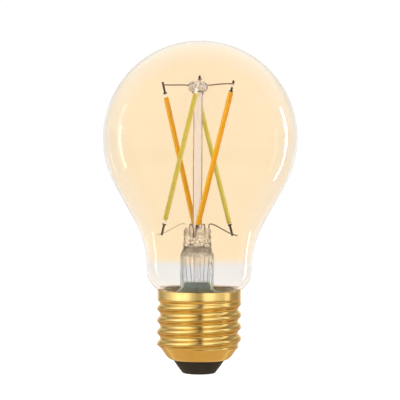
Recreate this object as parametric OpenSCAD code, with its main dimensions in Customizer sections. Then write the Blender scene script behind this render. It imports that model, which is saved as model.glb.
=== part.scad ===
// Smart LED filament bulb: 60 mm pear-shaped glass with an E27 screw cap, two warm and two cool
// filaments, and a dimmable driver with a wireless board inside the cap.
// Millimetres. The origin is the centre of the contact's bottom face, +Z runs up the bulb's axis.

/* [Glass] */
// Outside diameter of the globe
globe_d = 60; // [58:0.5:62]
// Overall height from the centre contact to the crown
overall_h = 102.4; // [102:0.1:104]
// Thickness of the blown glass
glass_wall = 0.7; // [0.5:0.1:0.9]
// Outside diameter of the neck at its narrowest
neck_d = 32.6; // [31.6:0.2:33.6]
// Radius of the concave waist between the globe and the neck
waist_r = 31; // [28:0.2:36]
// Angle of the waist's straight side to the axis
waist_angle = 29.4; // [28:0.2:31]
// Radius of the shoulder that turns in to the cap
shoulder_r = 7.5; // [7.2:0.1:7.8]
// Thickness of the amber lacquer
amber_t = 0.08; // [0.06:0.01:0.12]
// Height where the amber lacquer ends and the clear neck begins
amber_z = 34.2; // [33.4:0.2:38]

/* [Stem] */
// Outside diameter of the stem's tube
stem_d = 10.4; // [10.2:0.1:10.6]
// Thickness of the stem's tube
stem_wall = 0.8; // [0.6:0.1:1]
// Height of the press above the contact
press_z = 38.8; // [38.4:0.1:39.4]
// Height where the press ends and the leads come out
press_top_z = 45; // [44.6:0.1:45.4]
// Width of the flat press
press_w = 8.8; // [8.4:0.1:9.2]
// Thickness of the flat press
press_t = 3.6; // [3.2:0.1:4]
// Outside diameter of the exhaust tube
exhaust_d = 2.6; // [2.4:0.1:2.8]
// Diameter of the glass post
post_d = 2.9; // [2.6:0.1:3.2]
// Diameter of the glass button on the post
button_d = 6; // [5.6:0.1:6.4]
// Height of the button's middle
button_z = 88.3; // [88:0.1:88.6]
// How far the stem stands to the left of the bulb's axis
stem_offset = 0.75; // [0:0.05:0.8]
// Diameter of the support and lead wires
wire_d = 0.44; // [0.36:0.02:0.5]

/* [Filaments] */
// Length of a filament from tab tip to tab tip
filament_l = 50.6; // [49:0.2:51]
// Length of the phosphor coat
phosphor_l = 41.6; // [40:0.2:42]
// Radius of the circle that the tab tips lie on
cage_r = 11; // [10.5:0.1:11.5]
// Height of the filaments' middle
cage_z = 66.65; // [66.3:0.05:67]
// Width of the warm phosphor coat
warm_w = 1.65; // [1.4:0.05:1.8]
// Width of the cool phosphor coat
cool_w = 1.5; // [1.3:0.05:1.7]
// LED chips in one filament
chip_count = 24; // [12:1:28]

/* [Cap] */
// Radius of the thread's crest
crest_r = 13.05; // [13.03:0.01:13.15]
// Radius of the thread's root
root_r = 12.1; // [12.05:0.01:12.15]
// Radius of the plain collar above the thread
collar_r = 12.95; // [12.9:0.01:13.1]
// Rise of the thread in one turn
pitch = 3.629; // [3.6:0.001:3.66]
// Thickness of the brass sheet
brass_t = 0.3; // [0.25:0.01:0.35]
// Height of the collar's rim
rim_z = 25.6; // [25.3:0.1:25.6]
// Radius of the brass shell's lower opening
base_r = 7.9; // [7.7:0.1:8.1]
// Radius of the insulator's bottom
insulator_r = 5.2; // [5:0.05:5.4]
// Radius of the centre contact
contact_r = 4; // [3.8:0.1:4.1]

/* [Electronics] */
// Diameter of the round driver board
driver_d = 22; // [21.4:0.2:22.4]
// Height of the driver board's top face
driver_z = 20.2; // [20:0.1:20.3]
// Thickness of both boards
board_t = 0.8; // [0.6:0.1:1]
// Width of the wireless board
wireless_w = 7.4; // [7:0.1:7.4]
// Height of the wireless board's upper edge
wireless_top_z = 28.1; // [27.6:0.1:28.4]
// Diameter of the bulk capacitor
capacitor_d = 6.3; // [5:0.1:6.4]

/* [Hidden] */

gap = 0.03;                       // clearance between pieces that touch
round_fn = 96;                    // fineness of turned shapes

// glass
globe_r = globe_d / 2;
globe_z = overall_h - globe_r;
neck_r = neck_d / 2;
side_start_z = globe_z - globe_r * sin(waist_angle);
side_start_r = globe_r * cos(waist_angle);
side_end_r = neck_r + waist_r * (1 - cos(waist_angle));
side_end_z = side_start_z - (side_start_r - side_end_r) / tan(waist_angle);
neck_z = side_end_z - waist_r * sin(waist_angle);
shoulder_angle = 70;
seal_r = neck_r - shoulder_r + shoulder_r * cos(shoulder_angle);
seal_z = 22.7;
seal_top_z = 24.3;                // top of the thick ring where stem and envelope are melted together

// stem
stem_r = stem_d / 2;
trumpet_r = 5.2;
trumpet_z = seal_z + 0.1 + stem_wall + trumpet_r;
trumpet_edge_r = stem_r + trumpet_r * (1 - sin(6));
press_start_z = 37;
lead_x = [-3.6, -2.3, 3.6, 2.3];  // where the left, front, right and rear leads stand in the press
wire_r = wire_d / 2;
exhaust_r = exhaust_d / 2;
exhaust_wall = 0.5;
exhaust_tip_z = 17.4;
post_r = post_d / 2;
button_h = 3.4;
support_z = button_z + 0.6;       // where the support wires leave the button
button_r = button_d / 2;

// filaments: each starts below at its own angle and ends above a quarter turn further on
SIDE_ANGLES = [183, 266, 6, 90];
HANG = [0, 0.4, 0.1, 0.9];        // how far each filament hangs below the cage's middle
mid_r = cage_r / sqrt(2);
tilt = asin(cage_r * sqrt(2) / filament_l);
substrate_w = 0.9;
substrate_t = 0.35;
substrate_l = phosphor_l + 1.6;
tab_w = 0.8;
tab_t = 0.2;
clip_l = 0.7;
weld_s = filament_l / 2 - 1;      // distance along the filament from its middle to a weld
phosphor_t_ratio = 0.9;

// cap
flank_r = 1.025;                  // radius of the thread's crest and root arcs
thread_top_z = 23;
thread_full_z = 21.5;
thread_low_z = 9;
thread_end_z = 7.4;
crest_phase_z = 9.15;             // height of a crest on the -X side
base_z = 4.1;                     // height of the shell's lower opening
base_arc_r = 3.6;
base_angle = -80;
cone_angle = 35;                  // slope of the shell's cone to the axis
base_cx = base_r - base_arc_r * cos(base_angle);
base_cz = base_z - base_arc_r * sin(base_angle);
cone_r = base_cx + base_arc_r * cos(cone_angle);
cone_z = base_cz - base_arc_r * sin(cone_angle);
cone_top_z = cone_z + (root_r - cone_r) / tan(cone_angle);
ring_points = 48;
lip_r = (base_cx + (base_arc_r - brass_t) * cos(base_angle)) * cos(180 / ring_points) - gap;

// electronics
driver_r = driver_d / 2;
driver_low_z = driver_z - board_t;
wireless_y = -2.2;                // front face of the wireless board
wireless_low_z = 12;
neutral_z = 22;                   // where the neutral wire meets the collar
LEAD_FEET = [[-2.9, 1.8], [-1.3, 2.3], [3.1, 1.6], [1.9, 2.2]];

// Moves what is built on the stem's own axis to where the stem stands
module on_stem() {
    translate([-stem_offset, 0, 0]) children();
}

// ---------- outlines and sweeps ----------

function arc(cx, cz, r, from, to, n) =
    [for (i = [0 : n]) let (a = from + (to - from) * i / n) [cx + r * cos(a), cz + r * sin(a)]];

function reverse(list) = [for (i = [len(list) - 1 : -1 : 0]) list[i]];

function unit(v) = v / norm(v);

function bezier(p0, p1, p2, p3, n) =
    [for (i = [0 : n]) let (t = i / n, s = 1 - t)
        s * s * s * p0 + 3 * s * s * t * p1 + 3 * s * t * t * p2 + t * t * t * p3];

function turn_z(p, a) = [p.x * cos(a) - p.y * sin(a), p.x * sin(a) + p.y * cos(a), p.z];

// Triangles that close a grid of rings into one skin, each ring joined to the next
function skin_faces(rings, sides, closed) =
    [for (i = [0 : rings - (closed ? 1 : 2)], j = [0 : sides - 1])
        let (a = i * sides + j, b = i * sides + (j + 1) % sides, r = (i + 1) % rings,
             c = r * sides + (j + 1) % sides, d = r * sides + j)
        each [[a, b, c], [a, c, d]]];

// A round wire along a path; ref is a direction that the path never runs along
module wire(path, r, ref, sides = 12) {
    n = len(path);
    rings = [for (i = [0 : n - 1])
        let (t = unit(path[min(i + 1, n - 1)] - path[max(i - 1, 0)]),
             u = unit(cross(t, ref)), v = cross(u, t))
        for (j = [0 : sides - 1]) path[i] + r * (cos(360 * j / sides) * u + sin(360 * j / sides) * v)];
    polyhedron(
        points = rings,
        faces = concat(
            skin_faces(n, sides, false),
            [[for (j = [sides - 1 : -1 : 0]) j]],
            [[for (j = [0 : sides - 1]) (n - 1) * sides + j]]),
        convexity = 4);
}

module turned(points) {
    rotate_extrude($fn = round_fn) polygon(points);
}

module block(w, d, h, at) {
    translate([at.x - w / 2, at.y - d / 2, at.z]) cube([w, d, h]);
}

// ---------- glass ----------

// Side of the envelope from the crown down to its seal, at depth d below the outer surface
function envelope_side(d) = concat(
    arc(0, globe_z, globe_r - d, 90, -waist_angle, 42),
    arc(neck_r + waist_r, neck_z, waist_r + d, 180 - waist_angle, 180, 10),
    arc(neck_r - shoulder_r, neck_z, shoulder_r - d, -5, -shoulder_angle, 13),
    [[seal_r - d, seal_z]]);

module glass_envelope() {
    color([1, 0.87, 0.68, 0.35])
        union() {
            turned(concat(envelope_side(0), reverse(envelope_side(glass_wall))));
            difference() {
                turned([[seal_r - 2.4, seal_z], [seal_r - 0.3, seal_z], [seal_r - 0.3, seal_top_z],
                    [seal_r - 2.4, seal_top_z]]);
                translate([-stem_offset, 0, seal_z - 1])
                    cylinder(r = trumpet_edge_r + gap, h = 4, $fn = round_fn);
            }
        }
}

module amber_coating() {
    color([0.95, 0.7, 0.35, 0.4])
        intersection() {
            turned(concat(envelope_side(-gap / 3 - amber_t), reverse(envelope_side(-gap / 3))));
            translate([0, 0, amber_z]) cylinder(r = globe_d, h = overall_h, $fn = round_fn);
        }
}

// Outside of the stem's tube and trumpet, at depth d into its wall
function stem_side(d) = concat(
    [[stem_r - d, press_start_z]],
    arc(stem_r + trumpet_r, trumpet_z, trumpet_r + d, 180, 264, 12));

module press_slice(w, t, z) {
    translate([0, 0, z])
        linear_extrude(0.01)
            hull() for (s = [-1, 1]) translate([s * (w - t) / 2, 0]) circle(d = t, $fn = 32);
}

module stem_flare() {
    color([0.9, 0.95, 0.95, 0.35])
        difference() {
            union() {
                turned(concat(stem_side(0), reverse(stem_side(stem_wall))));
                difference() {
                    union() {
                        hull() {
                            translate([0, 0, press_start_z]) cylinder(r = stem_r, h = 0.6, $fn = 32);
                            press_slice(press_w, press_t, press_z);
                        }
                        hull() {
                            press_slice(press_w, press_t, press_z);
                            press_slice(press_w - 0.8, press_t - 0.8, press_top_z - 0.01);
                        }
                    }
                    hull() {
                        translate([0, 0, press_start_z - 0.01])
                            cylinder(r = stem_r - stem_wall, h = 0.01, $fn = 32);
                        press_slice(press_w - 1.2, press_t - 1.6, press_z - 0.6);
                    }
                }
            }
            for (x = lead_x)
                translate([x, 0, press_z - 2]) cylinder(r = wire_r + gap / 2, h = 10, $fn = 24);
            translate([0, 0, press_z - 3]) cylinder(r = exhaust_r + gap, h = 3.1, $fn = 32);
        }
}

module exhaust_tube() {
    bore_r = exhaust_r - exhaust_wall;
    color([0.9, 0.95, 0.95, 0.35])
        turned([
            [bore_r, press_z], [exhaust_r, press_z],
            [exhaust_r, exhaust_tip_z + 1.6], [0.5, exhaust_tip_z], [0, exhaust_tip_z],
            [0, exhaust_tip_z + 1], [bore_r, exhaust_tip_z + 2.4]]);
}

module stem_post() {
    color([0.92, 0.95, 0.95, 0.4])
        translate([0, 0, press_top_z + gap])
            cylinder(r = post_r, h = button_z - button_h / 2 - press_top_z - 2 * gap, $fn = 48);
}

module stem_button() {
    edge = button_h / 2;
    color([0.92, 0.95, 0.95, 0.4])
        difference() {
            turned(concat(
                [[0, button_z - edge]],
                arc(button_r - edge, button_z, edge, -90, 90, 14),
                [[0, button_z + edge]]));
            for (a = SIDE_ANGLES)
                translate([0, 0, support_z]) rotate([0, 90, a + 90])
                    translate([0, 0, 1.4]) cylinder(r = wire_r + gap / 2, h = button_d, $fn = 24);
        }
}

// ---------- wires ----------

// A point of filament i, s along it from its middle
function filament_point(i, s) =
    turn_z([mid_r, s * sin(tilt), cage_z - HANG[i] + s * cos(tilt)], SIDE_ANGLES[i] + 45);

// Where a wire passes beside a tab of filament i, further out of the cage by over
function weld_point(i, s, over) =
    let (p = filament_point(i, s), out = unit([p.x, p.y, 0]), side = [-out.y, out.x, 0] * sign(s))
    p + side * (tab_w / 2 + wire_r + 2 * gap) + out * over;

function support_path(i) =
    let (out = turn_z([1, 0, 0], SIDE_ANGLES[i] + 90), w = weld_point(i, weld_s, -1.5),
         e = weld_point(i, weld_s, 1.1), start = out * 1.6 + [0, 0, support_z])
    concat([start],
        bezier(out * (button_r + 0.6) + [0, 0, support_z], out * 5 + [0, 0, support_z + 0.1],
            out * 7 + [0, 0, w.z], w, 6),
        [e]);

function lead_path(i) =
    let (start = [lead_x[i], 0, press_top_z + gap], out = turn_z([1, 0, 0], SIDE_ANGLES[i]),
         w = weld_point(i, -weld_s, -1), e = weld_point(i, -weld_s, 1.6) - [0, 0, 0.9])
    concat([start],
        bezier(start + [0, 0, 0.5], start + [0, 0, 2.2], w - out * 3.5 + [0, 0, 1.9], w, 10),
        [e]);

module support_wire(i) {
    color([0.45, 0.38, 0.36]) wire(support_path(i), wire_r, [0, 0, 1]);
}

module lead_wire(i) {
    color([0.45, 0.38, 0.36])
        wire(lead_path(i), wire_r, turn_z([0, 1, 0.01], SIDE_ANGLES[i]));
}

module seal_wires() {
    color([0.6, 0.35, 0.3])
        for (x = lead_x)
            translate([x, 0, press_z - 1])
                cylinder(r = wire_r, h = press_top_z - press_z + 1, $fn = 24);
}

module outer_leads() {
    color([0.72, 0.45, 0.3])
        for (i = [0 : 3]) {
            top = [lead_x[i], 0, press_z - 1 - gap];
            foot = [LEAD_FEET[i].x, LEAD_FEET[i].y, driver_z + 0.1];
            wire(bezier(top, top - [0, 0, 6], foot + [0, 0, 9], foot, 10), wire_r - 0.04, [1, 0.3, 0]);
        }
}

// ---------- filaments ----------

module at_filament(i) {
    rotate([0, 0, SIDE_ANGLES[i] + 45])
        translate([mid_r, 0, cage_z - HANG[i]])
            rotate([-tilt, 0, 0]) children();
}

// A bar of flat oval section, its width along Y and its thickness along X
module oval_bar(w, t, l) {
    translate([0, 0, -l / 2])
        linear_extrude(l)
            union() {
                square([t, w - t], center = true);
                for (s = [-1, 1]) translate([0, s * (w - t) / 2]) circle(d = t, $fn = 32);
            }
}

module chip_row(grow) {
    step = (phosphor_l - 3) / (chip_count - 1);
    for (k = [0 : chip_count - 1])
        translate([substrate_t / 2, -0.13 - grow, (k - (chip_count - 1) / 2) * step - 0.3 - grow])
            cube([0.12 + grow, 0.26 + 2 * grow, 0.6 + 2 * grow]);
}

module phosphor(i, w, tone) {
    color(tone)
        at_filament(i)
            difference() {
                oval_bar(w, max(w * phosphor_t_ratio, 0.85), phosphor_l);
                cube([substrate_t + gap, substrate_w + gap, substrate_l], center = true);
                chip_row(gap);
            }
}

module substrate(i) {
    color([0.93, 0.93, 0.9])
        at_filament(i) cube([substrate_t, substrate_w, substrate_l], center = true);
}

module chips(i) {
    color([0.3, 0.5, 0.85]) at_filament(i) translate([gap / 2, 0, 0]) chip_row(0);
}

// Both end tabs of a filament: a clip round the substrate's end and a strip beyond it
module tabs(i) {
    strip_l = (filament_l - substrate_l) / 2 - gap;
    strip_z = substrate_l / 2 + gap + strip_l / 2;
    color([0.42, 0.35, 0.33])
        at_filament(i)
            for (s = [-1, 1])
                difference() {
                    union() {
                        translate([0, 0, s * strip_z]) cube([tab_t, tab_w, strip_l], center = true);
                        translate([0, 0, s * (substrate_l / 2 - clip_l / 2 + 0.15)])
                            cube([substrate_t + 0.3, substrate_w + 0.2, clip_l + 0.3], center = true);
                    }
                    cube([substrate_t + gap, substrate_w + gap, substrate_l + gap], center = true);
                }
}

// ---------- cap ----------

function smooth(from, to, x) = let (t = max(0, min(1, (x - from) / (to - from)))) t * t * (3 - 2 * t);

// Rise of the rolled thread above its root, x along the axis from a crest
function thread_rise(x) =
    let (h = crest_r - root_r, half = pitch / 2,
         flank = atan2(2 * flank_r - h, half),
         slope = asin(2 * flank_r / norm([half, 2 * flank_r - h])) - flank,
         edge = flank_r * sin(slope))
    x <= edge ? h - flank_r + sqrt(flank_r * flank_r - x * x)
    : x >= half - edge ? flank_r - sqrt(flank_r * flank_r - (half - x) * (half - x))
    : h - flank_r + flank_r * cos(slope) - (x - edge) * tan(slope);

function thread_at(a, z) =
    let (turns = (z - crest_phase_z) / pitch - (a - 180) / 360, x = abs(turns - round(turns)) * pitch)
    thread_rise(x) * smooth(thread_end_z, thread_low_z, z);

// Radius of the brass at angle a, where base is the shell's radius without its thread
function shell_radius(a, z, base, d) =
    let (k = smooth(thread_top_z, thread_full_z, z))
    k * (base + thread_at(a, z)) + (1 - k) * collar_r - d;

// [z, radius without thread] from the rim down to the lower opening, at depth d into the sheet
function shell_levels(d) =
    let (low = arc(base_cx, base_cz, base_arc_r - d, -cone_angle, base_angle, 6))
    concat(
        [[rim_z, root_r], [24.4, root_r]],
        [for (i = [0 : 36]) [thread_top_z - (thread_top_z - cone_top_z) * i / 36, root_r]],
        [for (t = [0.2, 0.4, 0.7])
            [cone_top_z + (low[0].y - cone_top_z) * t, root_r + (low[0].x + d - root_r) * t]],
        [for (p = low) [p.y, p.x + d]]);

module cap_shell() {
    rows = concat(
        [for (l = shell_levels(0)) [l[0], l[1], 0]],
        [for (l = reverse(shell_levels(brass_t))) [l[0], l[1], brass_t]]);
    points = [for (row = rows, j = [0 : ring_points - 1])
        let (a = 360 * j / ring_points, r = shell_radius(a, row[0], row[1], row[2]))
        [r * cos(a), r * sin(a), row[0]]];
    color([0.85, 0.65, 0.3])
        polyhedron(points = points, faces = skin_faces(len(rows), ring_points, true), convexity = 6);
}

module cap_insulator() {
    inner = arc(base_cx, base_cz, base_arc_r - brass_t - gap, -78, -40, 5);
    color([0.16, 0.16, 0.15])
        turned(concat(
            [[1.5 + gap, 0.9 + gap], [contact_r + gap, 0.9 + gap], [contact_r + gap, 0.1]],
            arc(insulator_r - 0.4, 0.5, 0.4, -90, -38, 4),
            [[lip_r, base_z - 0.15], [lip_r, inner[0].y]],
            inner,
            [[inner[5].x - 1.2, inner[5].y], [5, 4.8], [1.5 + gap, 4.4]]));
}

module centre_contact() {
    color([0.72, 0.7, 0.66])
        turned([[1, 0], [contact_r - 0.3, 0], [contact_r, 0.3], [contact_r, 0.9], [1.5, 0.9],
            [1.5, 4.4 + gap], [2.2, 4.5 + gap], [2.2, 4.8], [1, 4.8]]);
}

module centre_solder() {
    color([0.7, 0.7, 0.72])
        translate([0, 0, 0.05])
            difference() {
                cylinder(r = 1 - gap / 2, h = 3.6, $fn = 32);
                translate([0, 0, 0.4]) cylinder(r = wire_r + gap / 2, h = 4, $fn = 24);
            }
}

module basing_cement() {
    neck = [for (p = envelope_side(-gap)) if (p.y < rim_z - 0.1) p];
    cement_r = collar_r - brass_t - 2 * gap;
    color([0.62, 0.5, 0.3])
        turned(concat(
            [[seal_r + gap, seal_z + 0.2], [cement_r, thread_top_z + 0.3], [cement_r, rim_z - 0.3]],
            [for (p = neck) if (p.y > seal_z + 0.2) p]));
}

// Solder that joins the neutral wire to the inside of the collar
module neutral_solder() {
    color([0.75, 0.75, 0.77]) translate([0, 11.88, neutral_z]) sphere(r = 0.42, $fn = 32);
}

module insulating_sleeve() {
    color([0.9, 0.9, 0.86, 0.8])
        difference() {
            translate([0, 0, 9.6]) cylinder(r = 11.6, h = 12, $fn = round_fn);
            translate([0, 0, 9.5]) cylinder(r = 11.4, h = 13, $fn = round_fn);
        }
}

// ---------- electronics ----------

module driver_board() {
    color([0.15, 0.38, 0.2])
        translate([0, 0, driver_low_z])
            difference() {
                cylinder(r = driver_r, h = board_t, $fn = round_fn);
                translate([-stem_offset, 0, -1]) cylinder(r = exhaust_r + 0.3, h = 3, $fn = 32);
                block(wireless_w + 0.2, board_t + 0.2, 3, [-stem_offset, wireless_y + board_t / 2, -1]);
            }
}

module wireless_board() {
    y = wireless_y + board_t;
    half = wireless_w / 2;
    color([0.2, 0.42, 0.25])
        translate([0, y, 0]) rotate([90, 0, 0])
            linear_extrude(board_t)
                polygon([
                    [-half, wireless_low_z], [half, wireless_low_z],
                    [half, wireless_top_z - 0.6], [half - 0.6, wireless_top_z],
                    [-half + 0.6, wireless_top_z], [-half, wireless_top_z - 0.6]]);
}

// Copper meander of the aerial on the front of the wireless board
module antenna_trace() {
    bars = 5;
    bar_w = 0.35;
    run = wireless_w - 1.6;
    step = 1;
    low = wireless_top_z - 1 - (bars - 1) * step;
    color([0.85, 0.62, 0.3])
        translate([0, wireless_y - 0.06, 0])
            union() {
                for (k = [0 : bars - 1])
                    translate([-run / 2, 0, low + k * step]) cube([run, 0.05, bar_w]);
                for (k = [0 : bars - 2])
                    translate([k % 2 == 0 ? run / 2 - bar_w : -run / 2, 0, low + k * step])
                        cube([bar_w, 0.05, step + bar_w]);
                translate([-run / 2, 0, low - 2]) cube([bar_w, 0.05, 2 + bar_w]);
            }
}

module wireless_chip() {
    color([0.12, 0.12, 0.13])
        block(4, 0.85, 4, [0, wireless_y - gap - 0.425, 13]);
}

module crystal() {
    color([0.8, 0.8, 0.82])
        block(2.5, 0.7, 1.6, [0, wireless_y - gap - 0.35, 17.3]);
}

module driver_chip() {
    body = [-4.9, -5.4, driver_z + 0.15];
    color([0.12, 0.12, 0.13])
        union() {
            block(3.9, 4.7, 1.3, body);
            for (s = [-1, 1], k = [-1.5 : 1 : 1.5])
                block(1.1, 0.42, 0.2, [body.x + s * 2.45, body.y + k * 1.27, driver_z + gap]);
            for (s = [-1, 1], k = [-1.5 : 1 : 1.5])
                block(0.3, 0.42, 0.7, [body.x + s * 2.05, body.y + k * 1.27, driver_z + gap]);
        }
}

module dimmer_transistors() {
    color([0.14, 0.14, 0.15])
        for (y = [-3.6, -7]) {
            body = [5.4, y, driver_z + 0.12];
            union() {
                block(2.9, 1.3, 0.95, body);
                for (p = [[-0.95, -1], [0.95, -1], [0, 1]])
                    block(0.4, 0.75, 0.5, [body.x + p.x, body.y + p.y * 0.85, driver_z + gap]);
            }
        }
}

module bridge_rectifier() {
    body = [0, 8, driver_low_z - 2.4];
    color([0.13, 0.13, 0.14])
        union() {
            block(4.7, 3.9, 2.2, body);
            for (x = [-1.3, 1.3], s = [-1, 1])
                block(0.7, 1, 1.2, [x, body.y + s * 2.1, driver_low_z - 1.2 - gap]);
        }
}

module bulk_capacitor() {
    r = capacitor_d / 2;
    low = 10.4;
    h = 8.2;
    color([0.16, 0.2, 0.3])
        translate([-6.5, 3.4, low])
            rotate_extrude($fn = 48)
                polygon([[0, 0], [r - 0.3, 0], [r, 0.3], [r, h - 1.6], [r - 0.25, h - 1.3],
                    [r, h - 1], [r, h - 0.2], [r - 0.5, h], [0, h]]);
}

module bulk_capacitor_leads() {
    color([0.75, 0.75, 0.77])
        for (x = [-1.25, 1.25])
            translate([-6.5 + x, 3.4, 18.6 + gap])
                cylinder(r = 0.25, h = driver_low_z - 18.6 - 2 * gap, $fn = 24);
}

module film_capacitor() {
    color([0.75, 0.6, 0.15])
        union() {
            block(7.4, 2.8, 6.6, [0, -6.6, driver_low_z - 7.4]);
            for (x = [-2.5, 2.5])
                translate([x, -6.6, driver_low_z - 0.9]) cylinder(r = 0.25, h = 0.9 - gap, $fn = 24);
        }
}

inductor_at = [6.5, 3.4, 11.4];

module inductor_core() {
    color([0.22, 0.22, 0.23])
        translate(inductor_at)
            union() {
                rotate_extrude($fn = 48)
                    polygon([[0, 0], [3, 0], [3, 1], [1.4, 1], [1.4, 5.6], [3, 5.6], [3, 6.6], [0, 6.6]]);
                for (x = [-1.6, 1.6])
                    translate([x, 0, 6.5])
                        cylinder(r = 0.3, h = driver_low_z - inductor_at.z - 6.5 - gap, $fn = 24);
            }
}

module inductor_winding() {
    color([0.75, 0.4, 0.2])
        translate(inductor_at)
            rotate_extrude($fn = 48)
                polygon(concat(
                    [[1.4 + gap, 1 + gap]],
                    [for (k = [0 : 10]) each [[2.55, 1.1 + k * 0.4], [2.7, 1.3 + k * 0.4]]],
                    [[2.55, 5.5], [1.4 + gap, 5.6 - gap]]));
}

fuse_at = [0, 3.6, 8.6];

module fusible_resistor() {
    color([0.35, 0.55, 0.45])
        translate(fuse_at)
            union() {
                rotate_extrude($fn = 40)
                    polygon([[0, 0], [0.9, 0], [1.3, 0.5], [1.3, 1.5], [1.1, 2], [1.1, 5.4], [1.3, 5.9],
                        [1.3, 6.9], [0.9, 7.4], [0, 7.4]]);
                translate([0, 0, 7.3]) cylinder(r = 0.25, h = driver_low_z - fuse_at.z - 7.3 - gap, $fn = 24);
            }
}

module chip_resistors() {
    color([0.1, 0.1, 0.11])
        for (k = [0 : 4]) block(2, 1.25, 0.5, [2.2 + k % 2 * 3.4, 5 + floor(k / 2) * 1.9, driver_z + gap]);
}

module chip_capacitors() {
    color([0.7, 0.55, 0.4])
        for (k = [0 : 3]) block(2, 1.25, 0.9, [-2.6 - k % 2 * 3.2, 5 + floor(k / 2) * 2, driver_z + gap]);
}

module live_wire() {
    start = fuse_at - [0, 0, gap];
    foot = [0, 0, 0.5];
    bend = bezier(start - [0, 0, 0.4], start - [0, 0, 1.8], [0, 0, 7.6], [0, 0, 5.2], 10);
    path = concat([start], bend, [foot]);
    color([0.75, 0.75, 0.77]) wire(path, wire_r, [1, 0, 0]);
}

module neutral_wire() {
    start = [0, 10.4, driver_z + gap];
    bend = [0, start.y, neutral_z];
    path = concat([start], bezier(start + [0, 0, 0.3], bend, bend, [0, 11.43, neutral_z], 8));
    color([0.75, 0.75, 0.77]) wire(path, wire_r, [1, 0, 0]);
}

// Solder that joins the wireless board to the driver board
module solder_joints() {
    color([0.75, 0.75, 0.78])
        for (x = [-2.4 : 1.2 : 2.4])
            translate([x, wireless_y - 0.35 - gap, driver_z + gap]) cylinder(r = 0.35, h = 0.7, $fn = 24);
}

// ---------- nodes ----------

glass_envelope();
amber_coating();
on_stem() stem_flare();
on_stem() exhaust_tube();
on_stem() stem_post();
on_stem() stem_button();
on_stem() support_wire(3);  // support_wire_left
on_stem() support_wire(0);  // support_wire_front
on_stem() support_wire(1);  // support_wire_right
on_stem() support_wire(2);  // support_wire_rear
on_stem() lead_wire(0);  // lead_wire_left
on_stem() lead_wire(1);  // lead_wire_front
on_stem() lead_wire(2);  // lead_wire_right
on_stem() lead_wire(3);  // lead_wire_rear
on_stem() seal_wires();
on_stem() outer_leads();
on_stem() phosphor(0, cool_w, [0.86, 0.83, 0.38]);  // cool_left_phosphor
on_stem() phosphor(1, warm_w, [0.98, 0.65, 0.1]);  // warm_front_phosphor
on_stem() phosphor(2, cool_w, [0.86, 0.83, 0.38]);  // cool_right_phosphor
on_stem() phosphor(3, warm_w, [0.98, 0.65, 0.1]);  // warm_rear_phosphor
on_stem() substrate(0);  // cool_left_substrate
on_stem() substrate(1);  // warm_front_substrate
on_stem() substrate(2);  // cool_right_substrate
on_stem() substrate(3);  // warm_rear_substrate
on_stem() chips(0);  // cool_left_chips
on_stem() chips(1);  // warm_front_chips
on_stem() chips(2);  // cool_right_chips
on_stem() chips(3);  // warm_rear_chips
on_stem() tabs(0);  // cool_left_tabs
on_stem() tabs(1);  // warm_front_tabs
on_stem() tabs(2);  // cool_right_tabs
on_stem() tabs(3);  // warm_rear_tabs
cap_shell();
cap_insulator();
centre_contact();
centre_solder();
neutral_solder();
basing_cement();
insulating_sleeve();
driver_board();
on_stem() wireless_board();
on_stem() antenna_trace();
on_stem() wireless_chip();
on_stem() crystal();
driver_chip();
dimmer_transistors();
bridge_rectifier();
bulk_capacitor();
bulk_capacitor_leads();
film_capacitor();
inductor_core();
inductor_winding();
fusible_resistor();
chip_resistors();
chip_capacitors();
live_wire();
neutral_wire();
on_stem() solder_joints();
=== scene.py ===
"""Smart LED filament bulb: glass, stem, filaments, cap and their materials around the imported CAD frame."""
import math

import bmesh
import bpy
from mathutils import Matrix, Vector, noise


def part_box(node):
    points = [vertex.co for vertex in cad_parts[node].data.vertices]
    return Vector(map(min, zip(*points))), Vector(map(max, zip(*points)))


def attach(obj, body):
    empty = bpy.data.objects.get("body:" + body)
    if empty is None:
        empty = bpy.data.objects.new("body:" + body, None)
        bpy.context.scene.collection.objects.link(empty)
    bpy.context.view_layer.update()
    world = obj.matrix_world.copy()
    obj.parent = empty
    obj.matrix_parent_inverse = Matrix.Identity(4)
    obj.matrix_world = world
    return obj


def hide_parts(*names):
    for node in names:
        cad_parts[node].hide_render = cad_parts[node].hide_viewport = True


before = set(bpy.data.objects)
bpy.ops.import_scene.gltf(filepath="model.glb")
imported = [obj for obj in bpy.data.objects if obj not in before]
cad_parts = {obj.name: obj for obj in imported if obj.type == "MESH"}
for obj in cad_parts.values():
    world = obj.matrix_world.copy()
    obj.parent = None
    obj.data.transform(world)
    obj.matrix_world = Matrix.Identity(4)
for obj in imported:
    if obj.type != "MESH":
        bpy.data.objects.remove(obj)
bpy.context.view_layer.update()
scene = bpy.context.scene
MM = 0.001

# ---------- dimensions, in millimetres and degrees ----------
# They are the CAD model's, but for the wires, which are a little thinner, and the stem's flare.

glass_low, glass_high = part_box("glass_envelope")
GLOBE_R = (glass_high.x - glass_low.x) / 2 / MM
CROWN_Z = glass_high.z / MM
SEAL_Z = glass_low.z / MM
GLOBE_Z = CROWN_Z - GLOBE_R
GLASS_WALL = 0.7
AMBER_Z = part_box("amber_coating")[0].z / MM
NECK_R, WAIST_R, WAIST_ANGLE, SHOULDER_R, SHOULDER_ANGLE = 16.3, 31.0, 29.4, 7.5, 70
SEAL_R = NECK_R - SHOULDER_R + SHOULDER_R * math.cos(math.radians(SHOULDER_ANGLE))
SEAL_TOP_Z = 24.3

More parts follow.
